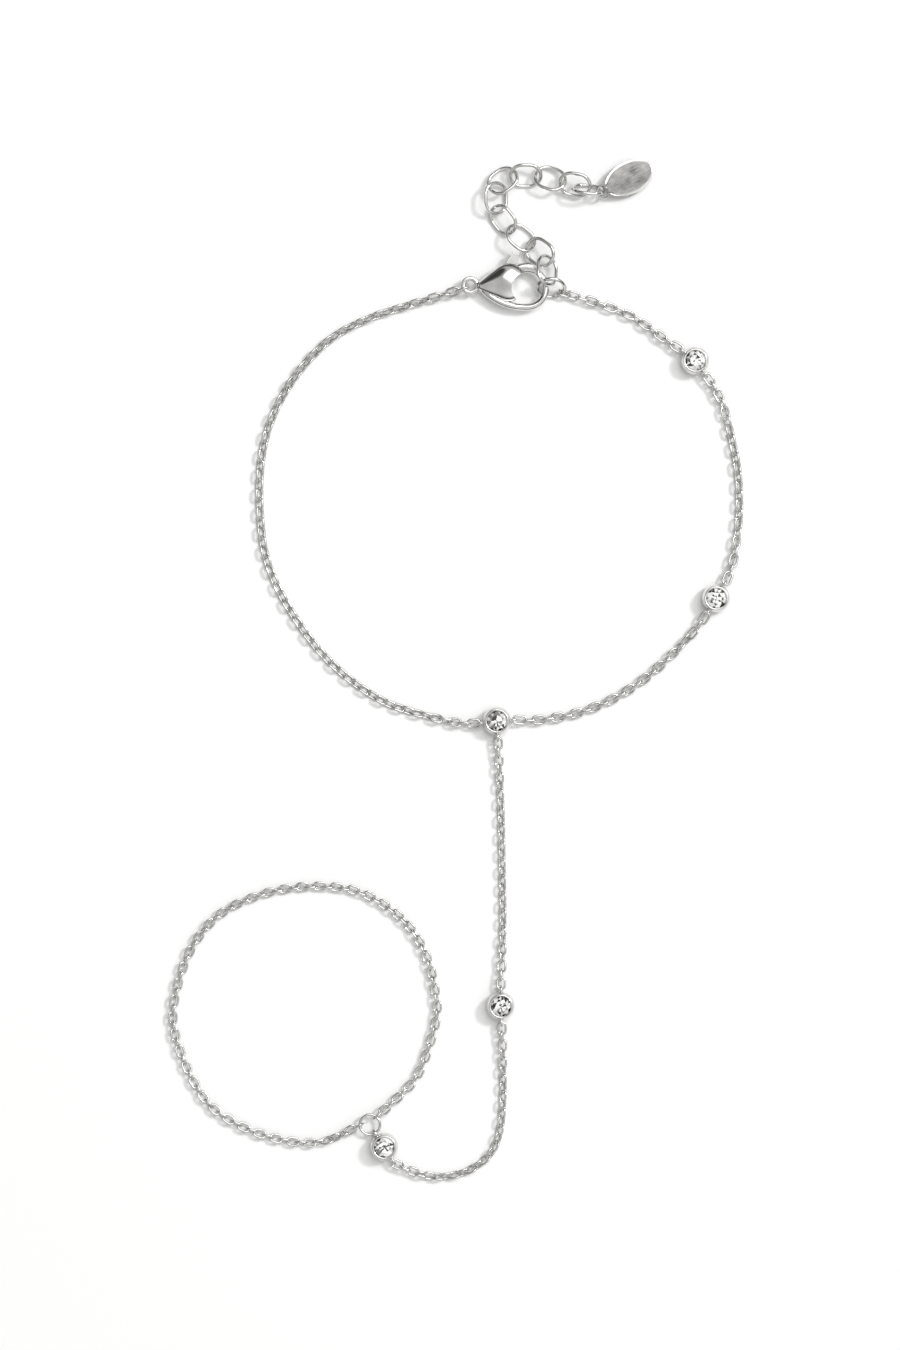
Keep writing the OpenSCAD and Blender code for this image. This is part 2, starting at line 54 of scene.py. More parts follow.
# Sizes and places that the solids also have, in millimetres and degrees
LINK = (1.9, 1.25, 0.3)               # length, width and wire of a wrist chain link
FINE_LINK = (1.7, 1.2, 0.27)          # the same of a hand chain link
WIDE_LINK = (4.1, 3.3, 0.43)          # the same of an extender link
END_RING = (3.7, 3.7, 0.44)           # a ring is a link that is as long as wide
FINGER_RING = (2.75, 2.75, 0.33)
LINK_PLAY = 0.13                      # free way of a link in the next
LINK_REST_GAP = 0.015                 # from a link's lowest point to the table
EAR_WIRE, EAR_Z = 0.3, 0.95           # wire of a setting's ear and its height over the table
EYE_WIRE, EYE_Z = 0.6, 1.25           # the same of the clasp's eye
END_WIRE, END_Z = 0.7, 0.805          # the same of the end ring, with free way all round its wire
BETWEEN_EARS = ((EAR_WIRE, EAR_WIRE), (EAR_Z, EAR_Z))

# Each stretch of chain: link, the points that it passes, wires that it hangs on at its two ends,
# heights of those, and roll of the first link, half way and of the last link
CHAINS = {
    "wrist_chain_left": (LINK, [
        (0.93, 45.741), (-1.5, 45), (-5.9, 43.7), (-10.4, 42.2), (-14.8, 39.9), (-18.4, 36.4), (-21.2, 32.2),
        (-23, 27.4), (-23.6, 21.6), (-23.1, 14.8), (-21.5, 10.1), (-19, 5.8), (-16, 1.9), (-12.5, -1.3),
        (-8.4, -3.9), (-3.9, -5.4), (0, -6.3), (2.513, -6.435)], (EYE_WIRE, EAR_WIRE), (EYE_Z, EAR_Z),
        (90, 45, 0)),
    "wrist_chain_lower": (LINK, [
        (7.307, -5.974), (9.8, -6), (14.4, -5.2), (18.8, -3.5), (22.7, -1), (26.3, 2.2), (28.8, 4.9),
        (29.959, 6.534)], *BETWEEN_EARS, (0, 8, 0)),
    "wrist_chain_right": (LINK, [
        (32.441, 10.666), (33.3, 13.2), (33.9, 17.5), (34, 21), (33.8, 24), (33.2, 27.3), (32.1, 31.6),
        (31, 33.9), (30.15, 35.175)], *BETWEEN_EARS, (0, 40, 0)),
    "wrist_chain_upper": (LINK, [
        (26.801, 38.584), (25.2, 39.6), (21.2, 42.4), (16.5, 44.2), (12.767, 45.253)],
        (EAR_WIRE, END_WIRE), (EAR_Z, END_Z), (0, 30, 48)),
    "hand_chain_upper": (FINE_LINK, [
        (5.026, -8.507), (5.3, -14.4), (5.5, -21.6), (5.6, -30.6), (5.4, -37.89)],
        *BETWEEN_EARS, (0, 45, 0)),
    "hand_chain_lower": (FINE_LINK, [
        (5.484, -42.709), (5.6, -46.8), (5.6, -51.6), (5.2, -55.5), (4, -58.2), (1.7, -60), (-1.2, -60.8),
        (-4.2, -60.5), (-7.287, -59.221)], *BETWEEN_EARS, (0, 45, 0)),
    "finger_chain": (FINE_LINK, [
        (-9.584, -53.584), (-7.7, -52), (-4.9, -49.1), (-3.3, -45.4), (-2.3, -41.4), (-2.5, -38.6),
        (-3.5, -34.5), (-5.6, -30.8), (-8.9, -28), (-12.8, -26.3), (-18.2, -26), (-23.5, -27),
        (-28.4, -29.4), (-31.8, -33.5), (-33.6, -38.7), (-33.9, -42.8), (-32.2, -47.9), (-29.3, -52.4),
        (-24.7, -55.2), (-19.6, -56.6), (-15.6, -56.5), (-11.537, -54.6)],
        (FINGER_RING[2], FINGER_RING[2]), (EAR_Z, EAR_Z), (90, 75, 90))}

STONES = [(4.9, -6.1), (31.2, 8.6), (28.7, 37.1), (5.4, -40.3), (-8.6, -57.2)]
STONE_R, TABLE_R = 1.225, 0.675       # a stone's girdle and the corners of the flat on its crown
GIRDLE_Z = 1.745                      # height of the girdle's middle over the table
GIRDLE_H, CROWN_H, PAVILION_H = 0.06, 0.37, 1.05      # heights of the girdle, above it and below it
STONE_TURN = 15                       # each stone is turned this much further than the last
STONE_SEED = 40                       # draw of the first stone's painted reflection tones, the next ones follow

TAG_SIZE = (6.4, 4.0, 0.4)            # long and short diameter, thickness
TAG_END_R = 0.72 * TAG_SIZE[1] / 2    # radius of the oval's two ends
TAG_EAR_D, TAG_HOLE_D = 1.7, 1.1      # ear at the tag's end and the hole in it
TAG_HOLE_X = 3.6                      # from the tag's middle to the hole
TAG_HOLE_AT = (17.625, 57.408, 1.526) # where the hole hangs in its link
TAG_TURN, TAG_TILT = 27, 11.244       # heading, and slope down from the hole

HOOK_HOLE_AT = (8.4955, 45.7814)      # upright hole inside the clasp's hook
HOOK_HOLE_D = 3.7


# ---------------------------------------------------------------- materials

def linear(hexa):
    """Turns an sRGB hex colour into linear red, green, blue and a full alpha: a share c of 255 becomes
    c / 12.92 where it is dark and ((c + 0.055) / 1.055) ^ 2.4 above."""
    shares = [int(hexa[i:i + 2], 16) / 255 for i in (1, 3, 5)]
    return [c / 12.92 if c <= 0.04045 else ((c + 0.055) / 1.055) ** 2.4 for c in shares] + [1.0]


def node(tree, kind, links=None, stops=(), **settings):
    """Adds a node. Settings are its properties or its sockets by name, links go from another socket into one
    of its own, and stops are a colour ramp's places and hex colours, in rising order."""
    made = tree.nodes.new(kind)
    for key, value in settings.items():
        if hasattr(made, key):
            setattr(made, key, value)
        else:
            made.inputs[key.replace("_", " ")].default_value = value
    for key, source in (links or {}).items():
        tree.links.new(source, made.inputs[key])
    for i, (at, hexa) in enumerate(stops):
        band = made.color_ramp.elements
        element = band[i] if i < len(band) else band.new(at)
        element.position, element.color = at, linear(hexa)
    return made


def new_material(name, **shader):
    """A material with one Principled shader, set by its sockets' names."""
    mat = bpy.data.materials.new(name)
    mat.use_nodes = True
    tree = mat.node_tree
    bsdf = tree.nodes["Principled BSDF"]
    for key, value in shader.items():
        bsdf.inputs[key.replace("_", " ")].default_value = value
    return mat, tree, bsdf


def lumps(size_mm):
    """Noise scale that makes lumps about this many millimetres across."""
    return 1 / (size_mm * MM)


def metal_skin(tree, bsdf, tone, colours, grain, rough, relief, depth_mm):
    """Colours a metal by its tone, and gives it roughness and relief by its grain: rough is the lowest and
    highest roughness, relief the share of the depth that shows."""
    colour = node(tree, "ShaderNodeValToRGB", {"Fac": tone}, stops=colours)
    gloss = node(tree, "ShaderNodeMapRange", {"Value": grain}, To_Min=rough[0], To_Max=rough[1])
    bump = node(tree, "ShaderNodeBump", {"Height": grain}, Strength=relief, Distance=depth_mm * MM)
    tree.links.new(colour.outputs["Color"], bsdf.inputs["Base Color"])
    tree.links.new(gloss.outputs["Result"], bsdf.inputs["Roughness"])
    tree.links.new(bump.outputs["Normal"], bsdf.inputs["Normal"])


def drawn_steel_wire():
    """Stainless steel wire, drawn, cut, bent and tumbled: bright, with soft uneven dents from tumbling.
    Its tone drifts once or twice along a link, and its dents are about as wide as the wire."""
    mat, tree, bsdf = new_material("drawn_steel_wire", Metallic=1.0)
    place = node(tree, "ShaderNodeTexCoord").outputs["Object"]
    tone = node(tree, "ShaderNodeTexNoise", {"Vector": place}, Scale=lumps(1.1), Detail=3.0)
    dents = node(tree, "ShaderNodeTexNoise", {"Vector": place}, Scale=lumps(0.38), Detail=2.0)
    metal_skin(tree, bsdf, tone.outputs["Fac"], [(0.3, "#C3C2C0"), (0.7, "#E5E4E2")],
               dents.outputs["Fac"], rough=(0.05, 0.15), relief=0.25, depth_mm=0.02)
    return mat


def cast_steel_polished():
    """Cast stainless steel, ground and mirror polished: sharp reflections, broken a little by the faint
    ripple that the wheel leaves, 0.14 mm from crest to crest."""
    mat, tree, bsdf = new_material("cast_steel_polished", Metallic=1.0)
    place = node(tree, "ShaderNodeTexCoord").outputs["Object"]
    tone = node(tree, "ShaderNodeTexNoise", {"Vector": place}, Scale=lumps(2.0), Detail=3.0)
    fine = node(tree, "ShaderNodeTexNoise", {"Vector": place}, Scale=lumps(0.14), Detail=2.0)
    metal_skin(tree, bsdf, tone.outputs["Fac"], [(0.3, "#CDCCCA"), (0.7, "#E9E8E6")],
               fine.outputs["Fac"], rough=(0.08, 0.17), relief=0.08, depth_mm=0.01)
    return mat


def brushed_steel_face_painted_shade():
    """Stamped steel sheet, brushed along its length: a satin made darker by painted shade in its base colour,
    with fine lines, 0.055 mm apart and 1.3 mm long, over soft patches where the brush pressed less."""
    mat, tree, bsdf = new_material("brushed_steel_face_painted_shade", Metallic=1.0)
    place = node(tree, "ShaderNodeTexCoord").outputs["Object"]
    along = node(tree, "ShaderNodeMapping", {"Vector": place}, vector_type="TEXTURE",
                 Rotation=(0, 0, math.radians(TAG_TURN)), Scale=(1.3 * MM, 0.055 * MM, 1.3 * MM))
    lines = node(tree, "ShaderNodeTexNoise", {"Vector": along.outputs["Vector"]}, Scale=1.0, Detail=4.0)
    patch = node(tree, "ShaderNodeTexNoise", {"Vector": place}, Scale=lumps(1.4), Detail=2.0)
    line_part = node(tree, "ShaderNodeMapRange", {"Value": lines.outputs["Fac"]}, To_Max=0.6)
    patch_part = node(tree, "ShaderNodeMapRange", {"Value": patch.outputs["Fac"]}, To_Max=0.4)
    tone = node(tree, "ShaderNodeMath", {0: line_part.outputs["Result"], 1: patch_part.outputs["Result"]},
                operation="ADD")
    # the low base colour is painted shade that keeps the face mid-grey under the lamps; the spread between
    # the stops is the brush lines and patches
    metal_skin(tree, bsdf, tone.outputs[0], [(0.35, "#4C4B4A"), (0.65, "#989795")],
               lines.outputs["Fac"], rough=(0.45, 0.65), relief=0.3, depth_mm=0.01)
    return mat


def cut_stone():
    """Cubic zirconia, cut and polished, with painted reflection: the hard white, grey or black that light
    turning back inside gives each facet is painted into the base colour, by the tone that the mesh gives it."""
    mat, tree, bsdf = new_material("cubic_zirconia_painted_facets", IOR=2.15, Roughness=0.03)
    tone = node(tree, "ShaderNodeAttribute", attribute_name="painted_facet_light")
    # painted reflection: black, grey and white facets that light turning back inside would show, put into the
    # base colour
    colour = node(tree, "ShaderNodeValToRGB", {"Fac": tone.outputs["Fac"]},
                  stops=[(0.0, "#0A0A0A"), (0.5, "#868583"), (1.0, "#FEFEFD")])
    tree.links.new(colour.outputs["Color"], bsdf.inputs["Base Color"])
    return mat


def white_table():
    """Matt white board that the piece lies on."""
    return new_material("white_board", Roughness=0.9, Base_Color=linear("#F4F4F4"))[0]


# ---------------------------------------------------------------- shapes

def grid_faces(rows, columns, close_rows, close_columns):
    """Quads between neighbouring points of a grid; either way round may close on itself."""
    i, j = np.meshgrid(np.arange(rows if close_rows else rows - 1),
                       np.arange(columns if close_columns else columns - 1), indexing="ij")
    i2, j2 = (i + 1) % rows, (j + 1) % columns
    return np.stack([i * columns + j, i2 * columns + j, i2 * columns + j2, i * columns + j2],
                    axis=-1).reshape(-1, 4)


def read_all(items, key, width=1, kind=float):
    """One property of all the corners, faces or points of a mesh, as an array."""
    values = np.empty(width * len(items), kind)
    items.foreach_get(key, values)
    return values.reshape(-1, width) if width > 1 else values


def make_piece(name, points_mm, faces, material, sharp=None):
    """Puts points and faces of equal corner count into a mesh at the origin, smooth, with edges sharper than
    sharp degrees kept."""
    mesh = bpy.data.meshes.new(name)
    points = np.asarray(points_mm, np.float64).reshape(-1, 3) * MM
    mesh.vertices.add(len(points))
    mesh.vertices.foreach_set("co", points.astype(np.float32).ravel())
    mesh.loops.add(faces.size)
    mesh.loops.foreach_set("vertex_index", faces.astype(np.int32).ravel())
    mesh.polygons.add(len(faces))
    mesh.polygons.foreach_set("loop_start", np.arange(0, faces.size, faces.shape[1], dtype=np.int32))
    mesh.polygons.foreach_set("use_smooth", np.ones(len(faces), bool))
    mesh.update(calc_edges=True)
    mesh.validate()
    if sharp:
        mesh.set_sharp_from_angle(angle=math.radians(sharp))
    mesh.materials.append(material)
    piece = bpy.data.objects.new(name, mesh)
    bpy.context.scene.collection.objects.link(piece)
    return piece


def smooth_route(points, steps=10):
    """Curve through points a, b, c, d between b and c:
    (2b + (c - a) t + (2a - 5b + 4c - d) t^2 + (3b - a - 3c + d) t^3) / 2, for t from 0 to 1."""
    p = np.array(points, float)
    a = np.vstack([p[:1], p[:-2]])[:, None]
    b, c = p[:-1, None], p[1:, None]
    d = np.vstack([p[2:], p[-1:]])[:, None]
    t = (np.arange(steps) / steps)[None, :, None]
    curve = (2 * b + (c - a) * t + (2 * a - 5 * b + 4 * c - d) * t ** 2
             + (3 * b - a - 3 * c + d) * t ** 3) / 2
    return np.vstack([curve.reshape(-1, 2), p[-1:]])


def link_poses(size, points, wires, heights, rolls, ease=6, lift=8):
    """Middle, heading, slope and roll of each link along a route. Links are spaced evenly at the pitch that
    lets each hang in the next; neighbours are rolled 90 degrees apart. Over the first and last ease links the
    roll fades from its value at the end to that half way, and over the first and last lift links the height
    fades from that of the wire at the end to a link's height at rest."""
    length, width, wire = size
    reach_l, reach_w = (length - wire) / 2, (width - wire) / 2
    route = smooth_route(points)
    run = np.concatenate([[0], np.cumsum(np.linalg.norm(np.diff(route, axis=0), axis=1))])
    start, end = (w / 2 + LINK_PLAY + wire / 2 for w in wires)
    first = reach_l - start
    span = run[-1] - first - (reach_l - end)
    count = math.ceil(span / (length - 2 * wire - LINK_PLAY)) + 1
    pitch = span / (count - 1)
    k = np.arange(count)
    at = first + k * pitch

    def near(a, b):
        """Angle that looks the same as a on a link, nearest to b."""
        return a - 180 * round((a - b) / 180)

    def fade(x, n):
        """1 at 0, falling to 0 at n."""
        return np.maximum(0, 1 - x / n)

    middle_roll = rolls[1]
    roll_0 = near(rolls[0], middle_roll)
    roll_1 = near(rolls[2] - 90 * ((count - 1) % 2), middle_roll)
    ease = min(ease, count / 2)
    twist = (middle_roll + (roll_0 - middle_roll) * fade(k, ease)
             + (roll_1 - middle_roll) * fade(count - 1 - k, ease))
    turned = np.radians(twist)
    rest = (reach_w * np.maximum(np.abs(np.sin(turned)), np.abs(np.cos(turned)))
            + wire / 2 + LINK_REST_GAP)
    joint = np.arange(count + 1)
    high = ((rest[np.maximum(joint - 1, 0)] + rest[np.minimum(joint, count - 1)]) / 2
            + (heights[0] - rest[0]) * fade(joint, lift) ** 2
            + (heights[1] - rest[-1]) * fade(count - joint, lift) ** 2)

    def on_route(s):
        """Places at distances s along the route."""
        return np.stack([np.interp(s, run, route[:, 0]), np.interp(s, run, route[:, 1])], axis=-1)

    ahead = on_route(at + reach_l) - on_route(at - reach_l)
    middle = np.column_stack([on_route(at), (high[:-1] + high[1:]) / 2])
    return (middle, np.arctan2(ahead[:, 1], ahead[:, 0]), np.arctan2(np.diff(high), pitch),
            np.radians(twist + 90 * (k % 2)))


def turn(axis, angle):
    """Rotation matrices about X, Y or Z for an array of angles."""
    c, s = np.cos(angle), np.sin(angle)
    o, z = np.ones_like(c), np.zeros_like(c)
    rows = {"x": [o, z, z, z, c, -s, z, s, c], "y": [c, z, s, z, o, z, -s, z, c],
            "z": [c, -s, z, s, c, z, z, z, o]}[axis]
    return np.stack(rows, axis=-1).reshape(np.shape(angle) + (3, 3))


def oval_link(size, bend=9, around=8):
    """Round wire round an oval: two half circles of wire middle joined by straight runs, at each point the
    middle plus wire radius times (cos v outwards, sin v upwards). As long as wide it is a ring, and then its
    halves share no point."""
    length, width, wire = size
    bend_r, half = (width - wire) / 2, (length - width) / 2
    angle = np.radians(np.linspace(-90, 90, bend, endpoint=length > width))
    u = np.concatenate([angle, angle + math.pi])
    centre = np.repeat([half, -half], bend)
    v = np.arange(around) * 2 * math.pi / around
    out = np.stack([np.cos(u), np.sin(u)], axis=-1)
    flat = (np.stack([centre, np.zeros_like(centre)], axis=-1) + bend_r * out)[:, None] \
        + (wire / 2) * np.cos(v)[None, :, None] * out[:, None]
    high = np.broadcast_to((wire / 2) * np.sin(v), flat.shape[:2])
    return np.dstack([flat, high]).reshape(-1, 3), grid_faces(2 * bend, around, True, True)


def linked_chain(name, size, points, wires, heights, rolls, material):
    """One mesh of linked ovals: each link's points turned by roll, slope and heading, then put in place."""
    shape, quads = oval_link(size)
    middle, heading, slope, roll = link_poses(size, points, wires, heights, rolls)
    turned = turn("z", heading) @ turn("y", -slope) @ turn("x", roll)
    placed = np.einsum("nij,kj->nki", turned, shape) + middle[:, None]
    faces = (quads[None] + len(shape) * np.arange(len(middle))[:, None, None]).reshape(-1, 4)
    return make_piece(name, placed, faces, material)


def fitted_link(name, cad, size, material):
    """The same wire oval or ring as a solid, in finer steps: its long, wide and thin directions are those in
    which the solid's corners spread most, less and least, and its middle is half way along each."""
    world = np.array(cad.matrix_world)
    corners = np.unique(read_all(cad.data.vertices, "co", 3).round(7), axis=0)
    corners = (corners @ world[:3, :3].T + world[:3, 3]) / MM
    middle = corners.mean(axis=0)
    ways = np.linalg.svd(corners - middle, full_matrices=False)[2]
    ways[2] = np.cross(ways[0], ways[1])
    spread = (corners - middle) @ ways.T
    middle = middle + (spread.max(axis=0) + spread.min(axis=0)) / 2 @ ways
    shape, quads = oval_link(size, bend=19, around=16)
    return make_piece(name, shape @ ways + middle, quads, material)


def stone_facets(turned):
    """Facets of a round brilliant that is turned by some degrees about its own middle. Its points lie in
    rings of eight from the table to the culet: r (cos a, sin a) at height z, with a in steps of 45 degrees
    from an octagon's corner or from the middle of its side. Returned are, for each kind of facet, the corners
    of one or two triangles in each of the eight sectors, and the shares of black, grey and light painted
    reflection among them. The table is cut up along the star that shows through it, so that the star's
    reflection can be painted, and the crown along the painted dark line of shade near its edge."""
    side_share = math.cos(math.radians(22.5))        # middle of an octagon's side over its corner
    side_r = TABLE_R * side_share
    star_r = (side_r + STONE_R) / 2
    low_r = 0.23 * STONE_R                           # where the long facets of the pavilion end
    painted_shade_line = 0.86                                 # share of the way from a star's point to the girdle where the painted shade line lies
    points_out, gaps_out = 0.55, 0.4                 # how far out the star in the table reaches
    top, under = GIRDLE_H / 2, -GIRDLE_H / 2
    flat = top + CROWN_H
    star_z = CROWN_H * (STONE_R - star_r * side_share) / (STONE_R - TABLE_R)
    low_z = PAVILION_H * (1 - low_r * side_share / STONE_R)

    def ring(r, z, shift=0.0):
        """Eight points, or one point eight times where r is 0."""
        angle = np.radians(45 * (np.arange(8) + shift) + turned)
        return np.column_stack([r * np.cos(angle), r * np.sin(angle), np.full(8, z)])

    def after(points):
        """The ring's points of the next sector."""
        return np.roll(points, -1, axis=0)

    def before(points):
        """The ring's points of the last sector."""
        return np.roll(points, 1, axis=0)

    def part(a, b):
        """Where the painted shade line crosses the way from a to b."""
        return a + (b - a) * painted_shade_line

    hub, culet = ring(0, flat), ring(0, under - PAVILION_H)
    inner, gap = ring(points_out * TABLE_R, flat), ring(gaps_out * side_r, flat, 0.5)
    corner, side = ring(TABLE_R, flat), ring(side_r, flat, 0.5)
    star = ring(star_r, top + star_z, 0.5)
    edge, edge_half = ring(STONE_R, top), ring(STONE_R, top, 0.5)
    base, base_half = ring(STONE_R, under), ring(STONE_R, under, 0.5)
    low = ring(low_r, under - low_z, 0.5)
    left, right, far = part(star, edge), part(star, after(edge)), part(star, edge_half)
    came = part(before(star), edge)
    # each row ends with the shares of black, grey and light painted reflection for that kind of facet
    return [
        ([hub, gap, inner], [hub, before(gap), inner], (0.30, 0.20, 0.10)),
        ([inner, side, corner], [inner, gap, side], (0.20, 0.15, 0.15)),
        ([inner, corner, before(side)], [inner, before(side), before(gap)], (0.20, 0.15, 0.15)),
        ([corner, side, star], [side, after(corner), star], (0.25, 0.25, 0.25)),
        ([corner, star, left], [corner, left, came], (0.15, 0.15, 0.25)),
        ([corner, came, before(star)], None, (0.15, 0.15, 0.25)),
        ([star, far, left], None, (0.30, 0.20, 0.15)),
        ([star, right, far], None, (0.30, 0.20, 0.15)),
        # the crown's band beyond the painted shade line is mostly black: painted shade where the stone meets
        # its rim
        ([left, edge_half, edge], [left, far, edge_half], (0.85, 0.15, 0.0)),
        ([far, after(edge), edge_half], [far, right, after(edge)], (0.85, 0.15, 0.0)),
        ([came, left, edge], None, (0.85, 0.15, 0.0)),
        ([edge, edge_half, base_half], [edge, base_half, base], (0.5, 0.5, 0.0)),
        ([edge_half, after(edge), after(base)], [edge_half, after(base), base_half], (0.5, 0.5, 0.0)),
        ([low, base, base_half], None, (0.3, 0.3, 0.2)),
        ([low, base_half, after(base)], None, (0.3, 0.3, 0.2)),
        ([culet, low, base], [culet, base, before(low)], (0.3, 0.3, 0.2))]


def brilliant(index, material):
    """Round brilliant in its place, with a painted reflection tone for each facet: 0 black, 0.45 grey, 0.8
    light and 1 white, drawn by the shares of its kind. Both triangles of a facet have one tone. A triangle
    that looks at the stone's heart is turned round."""
    rng = np.random.default_rng(STONE_SEED + index)
    corners, tones = [], []
    for first, second, shares in stone_facets(STONE_TURN * index):
        # each facet's painted reflection tone, drawn at random by the shares of its kind
        pick = rng.random(8)
        black, grey, light = np.cumsum(shares)
        tone = np.select([pick < black, pick < grey, pick < light], [0.0, 0.45, 0.8], 1.0)
        for triangles in (first, second):
            if triangles is not None:
                corners.append(np.stack(triangles, axis=1))
                tones.append(tone)
    points = np.vstack(corners).reshape(-1, 3)
    faces = np.arange(len(points)).reshape(-1, 3)
    heart = [0, 0, -PAVILION_H / 3]
    outward = points.reshape(-1, 3, 3).mean(axis=1) - heart
    normal = np.cross(points[1::3] - points[::3], points[2::3] - points[::3])
    inward = np.einsum("ij,ij->i", normal, outward) < 0
    faces[inward] = faces[inward][:, ::-1]
    points = points + np.array([*STONES[index], GIRDLE_Z])
    piece = make_piece("brilliant_%d" % (index + 1), points, faces, material)
    piece.data.polygons.foreach_set("use_smooth", np.zeros(len(faces), bool))
    # painted reflection and shade of each facet, read by the stone's material
    mark = piece.data.attributes.new("painted_facet_light", "FLOAT", "FACE")
    mark.data.foreach_set("value", np.concatenate(tones).astype(np.float32))
    return piece


def smooth_copy(cad, name, material, sharp=32):
    """The solid's own mesh with its corners merged, shaded smooth but for edges sharper than sharp
    degrees."""
    merge_mm = 0.0005
    mesh = cad.data.copy()
    build = bmesh.new()
    build.from_mesh(mesh)
    bmesh.ops.remove_doubles(build, verts=build.verts, dist=merge_mm * MM)
    build.to_mesh(mesh)
    build.free()
    mesh.polygons.foreach_set("use_smooth", np.ones(len(mesh.polygons), bool))
    mesh.set_sharp_from_angle(angle=math.radians(sharp))
    mesh.materials.clear()
    mesh.materials.append(material)
    piece = bpy.data.objects.new(name, mesh)
    piece.matrix_world = cad.matrix_world
    bpy.context.scene.collection.objects.link(piece)
    return piece


def round_wall(piece, centre_mm, radius_mm):
    """Shades the wall of an upright round hole as a true cylinder: each corner of a face that stands upright
    and lies on the cylinder looks from its own place straight at the axis."""
    on_wall_mm, upright = 0.004, 0.02
    mesh = piece.data
    first, total = (read_all(mesh.polygons, key, kind=np.int32) for key in ("loop_start", "loop_total"))
    corner = read_all(mesh.loops, "vertex_index", kind=np.int32)
    to_axis = np.array(centre_mm) * MM - read_all(mesh.vertices, "co", 3)[corner, :2]
    away = np.linalg.norm(to_axis, axis=1)
    off = np.maximum.reduceat(np.abs(away - radius_mm * MM), first)
    slope = np.abs(read_all(mesh.polygons, "normal", 3)[:, 2])
    wall = np.repeat((off < on_wall_mm * MM) & (slope < upright), total)
    look = read_all(mesh.corner_normals, "vector", 3)
    look[wall] = np.column_stack([to_axis / away[:, None], np.zeros(len(corner))])[wall]
    mesh.normals_split_custom_set(look)


def tag_outline(angle, inset):
    """Oval of four arcs, moved in by inset: at a normal's angle, the arc's centre plus its radius less inset
    along that normal. Small arcs are at the ends and large ones along the sides."""
    length, width, _ = TAG_SIZE
    end_x = length / 2 - TAG_END_R
    side_r = (end_x ** 2 + (width / 2) ** 2 - TAG_END_R ** 2) / (width - 2 * TAG_END_R)
    side_y = side_r - width / 2
    meet = math.atan2(side_y, end_x)
    c, s = np.cos(angle), np.sin(angle)
    end = np.abs(s) < math.sin(meet)
    radius = np.where(end, TAG_END_R, side_r) - inset
    x = np.where(end, np.sign(c) * end_x, 0) + radius * c
    y = np.where(end, 0, -np.sign(s) * side_y) + radius * s
    return np.stack([x, y], axis=-1)


def tag_edge(inset, oval_steps=112, ear_steps=48):
    """Edge of the whole tag, moved in by inset: the oval from where the ear leaves it, round the far end and
    back, then the ear's circle, which moves in less. The two meet where circles of the end's and the ear's
    radius cross."""
    ear_r, ear_rim = TAG_EAR_D / 2, 0.1
    gap = TAG_HOLE_X - (TAG_SIZE[0] / 2 - TAG_END_R)
    reach = (ear_r ** 2 - TAG_END_R ** 2 + gap ** 2) / (2 * gap)
    rise = math.sqrt(ear_r ** 2 - reach ** 2)
    leaves = math.atan2(rise, reach - gap)
    joins = math.atan2(rise, reach)
    oval = tag_outline(np.linspace(-leaves, leaves, oval_steps), inset)
    angle = np.linspace(joins, 2 * math.pi - joins, ear_steps)
    ear = np.column_stack([np.cos(angle), np.sin(angle)]) * (ear_r - min(inset, ear_rim)) - [TAG_HOLE_X, 0]
    return np.vstack([oval, ear])


def tag_plate(material, rim_material):
    """Oval plate with an ear at one end: rings of points from the hole's wall over the face, the rim and the
    side to the back, closed into a loop. The hole's points lie in the directions of the edge's. The plate is
    then sloped and turned about its hole and put in place."""
    half = TAG_SIZE[2] / 2
    soft = 0.05                                      # rounding of every edge
    rim, rim_drop = 0.3, 0.04                        # width of the rim and how far it falls outwards
    step_w, step_h = 0.02, 0.01                      # step from the face to the rim
    edge = tag_edge(0)
    away = edge + [TAG_HOLE_X, 0]
    away = away / np.linalg.norm(away, axis=1)[:, None]

    def hole(grow):
        """The hole's points, grown by some millimetres."""
        return away * (TAG_HOLE_D / 2 + grow) - [TAG_HOLE_X, 0]

    rings = [(hole(0), -half + soft), (hole(0), half - soft), (hole(soft), half),
             (tag_edge(rim + step_w), half), (tag_edge(rim), half - step_h),
             (tag_edge(soft), half - rim_drop), (edge, half - rim_drop - soft),
             (edge, -half + soft), (tag_edge(soft), -half), (hole(soft), -half)]
    face_row, back_row = 2, 8
    points = np.stack([np.column_stack([xy, np.full(len(xy), z)]) for xy, z in rings])
    tilt = turn("z", np.radians(TAG_TURN)) @ turn("y", np.radians(TAG_TILT))
    points = (points + np.array([TAG_HOLE_X, 0, 0])) @ tilt.T + np.array(TAG_HOLE_AT)
    faces = grid_faces(len(rings), len(edge), True, True)[:, ::-1]
    piece = make_piece("tag_plate", points, faces, rim_material, sharp=25)
    piece.data.materials.append(material)
    slots = np.zeros((len(rings), len(edge)), np.int32)
    slots[[face_row, back_row]] = 1
    piece.data.polygons.foreach_set("material_index", slots.ravel())
    return piece


# ---------------------------------------------------------------- set

def table():
    """Flat square under the piece."""
    reach = 4000.0
    corners = reach * np.array([[-1, -1, 0], [1, -1, 0], [1, 1, 0], [-1, 1, 0]])
    floor = make_piece("table", corners, np.array([[0, 1, 2, 3]]), white_table())


def area_light(name, at_mm, size_mm, watts):
    """Square soft light at a place, turned to the middle of the table."""
    data = bpy.data.lights.new(name, "AREA")
    data.size = size_mm * MM
    data.energy = watts
    lamp = bpy.data.objects.new(name, data)
    x, y, z = at_mm
    lamp.location = np.array(at_mm) * MM
    lamp.rotation_euler = (math.atan2(math.hypot(x, y), z), 0, math.atan2(-y, -x) - math.pi / 2)
    bpy.context.scene.collection.objects.link(lamp)


